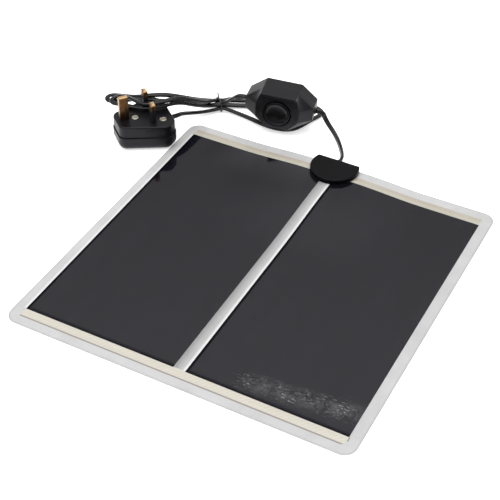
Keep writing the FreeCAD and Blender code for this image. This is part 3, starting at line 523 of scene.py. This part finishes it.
def cut_edge(s, x, y):
    """Grows towards the film's outline, round its corners too."""
    middle = (FILM_LOW.y + FILM_HIGH.y) / 2
    out_x = corner_reach(s, x, FILM_HIGH.x - FILM_CORNER)
    out_y = corner_reach(s, s.calc("SUBTRACT", y, middle), FILM_HIGH.y - middle - FILM_CORNER)
    reach = s.calc("SQRT", s.calc("ADD", s.product(out_x, out_x), s.product(out_y, out_y)))
    return s.spread(reach, FILM_CORNER - 2.2 * MM, FILM_CORNER - 0.6 * MM, 0, 0.22)


def milky(name):
    """Frosted polyester: cloudy and specked, shaded beside the prints and at its cut edge."""
    s = Shader(name)
    x, y = s.axis("X"), s.axis("Y")
    cloud, specks = s.noise(35, 5, 0.6), s.noise(900, 3, 0.7)
    colour = s.blend(s.vary(cloud, 0, 1), grey(0.45), grey(0.515))
    colour = s.blend(s.spread(specks, 0.56, 0.72, 0, 0.4), colour, grey(0.58))
    colour = s.blend(gap_shade(s, x), colour, grey(0.10))
    colour = s.blend(bar_shade(s, x, y), colour, grey(0.08))
    for low, _ in PANELS:
        colour = s.blend(panel_line(s, x, low.x), colour, grey(0.64))
    s.set(Base_Color=s.blend(cut_edge(s, x, y), colour, grey(0.20)), Specular_IOR_Level=0.1,
          Roughness=s.vary(specks, 0.5, 0.6))
    return s.relief(s.noise(700, 4, 0.7), 0.03 * MM)


def scuffed(s):
    """Share of white in the scuffed patch, which follows a line across the right panel's front."""
    slope, crossing = 0.10, -116.5 * MM
    x, y = s.axis("X"), s.axis("Y")
    line = s.calc("ADD", s.product(x, slope), crossing)
    off_line = s.calc("ABSOLUTE", s.calc("SUBTRACT", y, line))
    patch = s.product(s.spread(off_line, 1 * MM, 12.5 * MM, 1, 0, smooth=True),
                      s.spread(x, 30 * MM, 62 * MM, smooth=True))
    haze = s.spread(s.noise(110, 5, 0.7), 0.42, 0.66, 0, 0.16)
    flecks = s.product(s.spread(s.noise(480, 3, 0.6, (0.7, 1.5, 1)), 0.545, 0.64, 0, 0.8),
                       s.spread(s.noise(48, 2), 0.42, 0.60, 0.15, 0.85))
    return s.product(patch, s.calc("MAXIMUM", flecks, haze), 0.9)


def rear_curl(s):
    """Height in metres of the curl left of the clamp, where the film turns up to its rear edge."""
    start, bend = 92 * MM, 1.9
    past = s.calc("MAXIMUM", s.calc("SUBTRACT", s.axis("Y"), start), 0.0)
    across = s.window(s.axis("X"), (-110 * MM, -80 * MM), (-30 * MM, -5 * MM), smooth=True)
    return s.product(past, past, bend, across)


def print_steps(s):
    """Near 1 where the film steps down beside a panel's left and front edges and shows no gloss."""
    x, y = s.axis("X"), s.axis("Y")
    steps = []
    for low, high in PANELS:
        left_edge, right_edge = (low.x - HAIR, low.x + HAIR), (high.x - HAIR, high.x + HAIR)
        left = s.window(x, left_edge, (low.x + 1.6 * MM, low.x + 2.8 * MM))
        front = s.window(y, (low.y - HAIR, low.y + HAIR), (low.y + 0.8 * MM, low.y + 4 * MM), (0.9, 0))
        front = s.product(front, s.window(x, left_edge, right_edge))
        steps.append(s.calc("MAXIMUM", left, front))
    return s.calc("MINIMUM", s.calc("ADD", *steps), 0.95)


def carbon(name):
    """Printed carbon: near black with a bluish cast, faintly banded, with a scuffed front edge."""
    s = Shader(name)
    band = s.noise(30, 4, 0.6, (3, 0.3, 1))
    colour = s.blend(s.vary(band, 0, 1), (0.003, 0.003, 0.005, 1), (0.006, 0.006, 0.009, 1))
    s.set(Base_Color=s.blend(scuffed(s), colour, grey(0.34)), IOR=1.5,
          Specular_IOR_Level=s.spread(print_steps(s), 0, 1, 0.33, 0),
          Specular_Tint=(0.95, 0.94, 1, 1), Roughness=s.vary(band, 0.05, 0.09))
    return s.relief(rear_curl(s), 1.0)


def printed_metal(name, pale, deep, split, front):
    """Beige conductor print: a diagonal weave, deeper behind split, with a dark edge at front."""
    s = Shader(name)
    streaks, cloud, y = s.noise(120, 4, 0.6, (0.15, 3, 1)), s.noise(22, 3), s.axis("Y")
    colour = s.blend(s.spread(streaks, 0.25, 0.75, 0, 0.35), pale, deep)
    slanted = s.add("ShaderNodeMapping", Vector=s.place, Rotation=(0, 0, 0.7)).outputs[0]
    weave = s.add("ShaderNodeTexWave", Vector=slanted, Scale=110.0, Distortion=2.5, Detail=2.0)
    colour = s.blend(s.product(weave.outputs["Fac"], 0.22), colour, deep)
    behind = s.spread(y, split - 0.4 * MM, split + 0.4 * MM)
    colour = s.blend(s.product(behind, s.spread(cloud, 0.35, 0.6, 0.3, 1)), colour, deep)
    edge = s.spread(y, front + 0.9 * MM, front + 1.6 * MM, 0.95, 0)
    s.set(Base_Color=s.blend(edge, colour, (0.24, 0.21, 0.19, 1)), Specular_IOR_Level=0.1,
          Roughness=s.spread(streaks, 0.25, 0.75, 0.4, 0.5))
    return s.relief(streaks, 0.02 * MM)


def over_panels(s):
    """1 over the two panels."""
    x, y = s.axis("X"), s.axis("Y")
    along = s.window(y, (PANEL_FRONT - HAIR, PANEL_FRONT), (PANEL_REAR, PANEL_REAR + HAIR))
    across = [s.window(x, (low.x - HAIR, low.x), (high.x, high.x + HAIR)) for low, high in PANELS]
    return s.product(along, s.calc("ADD", *across))


def clear_film(name):
    """Clear polyester: what lies under it shows, with a gloss that grows at a low angle.

    The film's two faces share the gloss.  Over the carbon it belongs to the print's own material.
    """
    head_on, grazing = 0.0155, 0.46
    s = Shader(name)
    s.tree.nodes.remove(s.body)
    facing = s.add("ShaderNodeLayerWeight", Blend=0.5).outputs["Facing"]
    share = s.calc("ADD", s.product(s.calc("POWER", facing, 5.0), grazing), head_on)
    share = s.product(share, s.calc("SUBTRACT", 1.0, over_panels(s)))
    gloss = s.add("ShaderNodeBsdfGlossy", Color=(0.97, 0.95, 1, 1),
                  Roughness=s.vary(s.noise(60, 3), 0.05, 0.08))
    clear = s.add("ShaderNodeBsdfTransparent")
    mix = s.add("ShaderNodeMixShader")
    for index, value in enumerate((share, clear.outputs[0], gloss.outputs[0])):
        s.feed(mix, index, value)
    s.feed(s.tree.nodes["Material Output"], "Surface", mix.outputs[0])
    return s.material


def mat():
    """The laminate: two films with the adhesive and the prints between them."""
    frosted, film, dark = milky("frosted_film"), clear_film("clear_film"), carbon("carbon_print")
    outline, windows = film_outline(), PANELS + BARS
    under, over = SHEET + CLEARANCE, SHEET + PRINT
    pieces = [
        (layer("lower_film", outline, 0.0, SHEET), "film_bottom", "film", frosted),
        (layer("adhesive", outline, under, over, windows), "bonding_layer", "adhesive", frosted),
        (layer("upper_film", outline, over + CLEARANCE, over + SHEET), "film_top", "film", film),
    ]
    for side, box in zip(("left", "right"), PANELS):
        panel = layer(f"heating_panel_{side}", rectangle(box), under, over)
        pieces.append((panel, f"carbon_panel_{side}", "carbon", dark))
    cream, dull_cream, deep = (0.56, 0.54, 0.47, 1), (0.46, 0.445, 0.375, 1), (0.39, 0.35, 0.295, 1)
    off_strip = 10 * MM      # puts the line of a tone that a strip doesn't have beyond it
    for node, (low, high) in zip(BAR_NODES, BARS):
        name = f"print_{node}"
        if node == "busbar_front":
            shape = trimmed(low, high, BAR_CORNER)
            finish = printed_metal(name, cream, deep, high.y + off_strip, low.y)
        else:
            shape = rectangle((low, high))
            finish = printed_metal(name, dull_cream, deep, (low.y + high.y) / 2, low.y - off_strip)
        pieces.append((layer(name, shape, under, over), node, "busbar", finish))
    for piece, node, slot, material in pieces:
        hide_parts(node)
        piece.data.materials.append(material)


mat()

# ---- controller knob -----------------------------------------------------------------------------
KNOB_JOINT = next(j for j in frame["joints"] if j["name"] == "knob_turn")
KNOB_CREASE = math.radians(50)


def turned(name, outline):
    """Solid of revolution about Z from an (r, z) outline that starts and ends on the axis."""
    steps = 96
    angles = [math.tau * i / steps for i in range(steps)]
    bm = bmesh.new()
    rings = []
    for r, z in outline:
        if r == 0:
            rings.append([bm.verts.new((0, 0, z))])
        else:
            rings.append([bm.verts.new((r * math.cos(a), r * math.sin(a), z)) for a in angles])
    for a, b in zip(rings, rings[1:]):
        for i in range(steps):
            k = (i + 1) % steps
            corners = [a[i % len(a)], a[k % len(a)], b[k % len(b)], b[i % len(b)]]
            bm.faces.new(list(dict.fromkeys(corners)))
    bmesh.ops.recalc_face_normals(bm, faces=bm.faces)
    return finished_mesh(bm, name)


def knob():
    """Round dished knob.  Millimetres, with Z along the joint's axis from its place."""
    radius, bottom, top = 11.5, -8.0, -1.1
    chamfer, shoulder, lip, rim, dish = 0.4, 1.0, 0.9, 2.0, 2.2
    outline = [(0, bottom), (radius - chamfer, bottom), (radius, bottom + chamfer),
               (radius, top - shoulder)]
    for i in range(1, 7):
        a = math.radians(15 * i)
        outline.append((radius - lip + lip * math.cos(a), top - lip + lip * math.sin(a)))
    for i in range(12):
        a = math.pi / 2 * i / 12
        outline.append(((radius - rim) * math.cos(a), top - dish * math.sin(a) ** 1.5))
    outline.append((0, top - dish))
    mesh = turned("knob_dished", [(r * MM, z * MM) for r, z in outline])
    tilt = Vector(KNOB_JOINT["axis"]).to_track_quat("Z", "Y").to_matrix().to_4x4()
    mesh.transform(Matrix.Translation(KNOB_JOINT["pos_m"]) @ tilt)
    piece = show("knob_dished", mesh, "knob")
    mesh.set_sharp_from_angle(angle=KNOB_CREASE)
    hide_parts("control_knob")
    piece.data.materials.append(moulded("knob_moulded", 0.003, 0.24, 0.20))
    return piece


knob_piece = knob()


# ---- floor and light -----------------------------------------------------------------------------
FLOOR_HALF = 12.0
FLOOR_DROP = 0.1 * MM        # keeps the floor just below the object
FLOOR_GLOW = 0.5             # lightens the shadows towards the photograph's white floor
HORIZON_GLOW, OVERHEAD_GLOW = 0.50, 1.72
HORIZON_TOP, OVERHEAD_START = 0.50, 0.88     # heights on the sky's sphere between which it brightens


def floor():
    """A plain pale floor."""
    bm = bmesh.new()
    bmesh.ops.create_grid(bm, x_segments=2, y_segments=2, size=FLOOR_HALF)
    piece = bpy.data.objects.new("floor", finished_mesh(bm, "floor"))
    bpy.context.scene.collection.objects.link(piece)
    piece.location.z = -FLOOR_DROP
    paint = mottled("floor_paint", grey(0.94), grey(0.95), 8, 0.9, 0.0)
    body = paint.node_tree.nodes["Principled BSDF"]
    body.inputs["Emission Color"].default_value = (1, 1, 1, 1)
    body.inputs["Emission Strength"].default_value = FLOOR_GLOW
    piece.data.materials.append(paint)


def lamp(name, place, size, power):
    """A round lamp that faces the origin."""
    data = bpy.data.lights.new(name, "AREA")
    data.shape, data.size, data.energy = "DISK", size, power
    piece = bpy.data.objects.new(name, data)
    piece.location = place
    piece.rotation_euler = (-Vector(place)).to_track_quat("-Z", "Y").to_euler()
    bpy.context.scene.collection.objects.link(piece)


def studio():
    """A white room that is brighter overhead, with one broad lamp."""
    world = bpy.data.worlds.new("studio")
    bpy.context.scene.world = world
    world.use_nodes = True
    tree = world.node_tree
    back = tree.nodes["Background"]
    place = tree.nodes.new("ShaderNodeTexCoord")
    height = tree.nodes.new("ShaderNodeSeparateXYZ")
    shade = tree.nodes.new("ShaderNodeMapRange")
    shade.interpolation_type = "SMOOTHSTEP"
    tree.links.new(place.outputs["Generated"], height.inputs[0])
    tree.links.new(height.outputs["Z"], shade.inputs["Value"])
    for socket, value in (("From Min", HORIZON_TOP), ("From Max", OVERHEAD_START),
                          ("To Min", HORIZON_GLOW), ("To Max", OVERHEAD_GLOW)):
        shade.inputs[socket].default_value = value
    tree.links.new(shade.outputs["Result"], back.inputs["Strength"])
    back.inputs["Color"].default_value = (1, 1, 1, 1)
    lamp("overhead", (-0.3, -0.3, 1.9), 2.0, 16)
    settings = bpy.context.scene.view_settings
    settings.view_transform, settings.look = "Standard", "None"


floor()
studio()
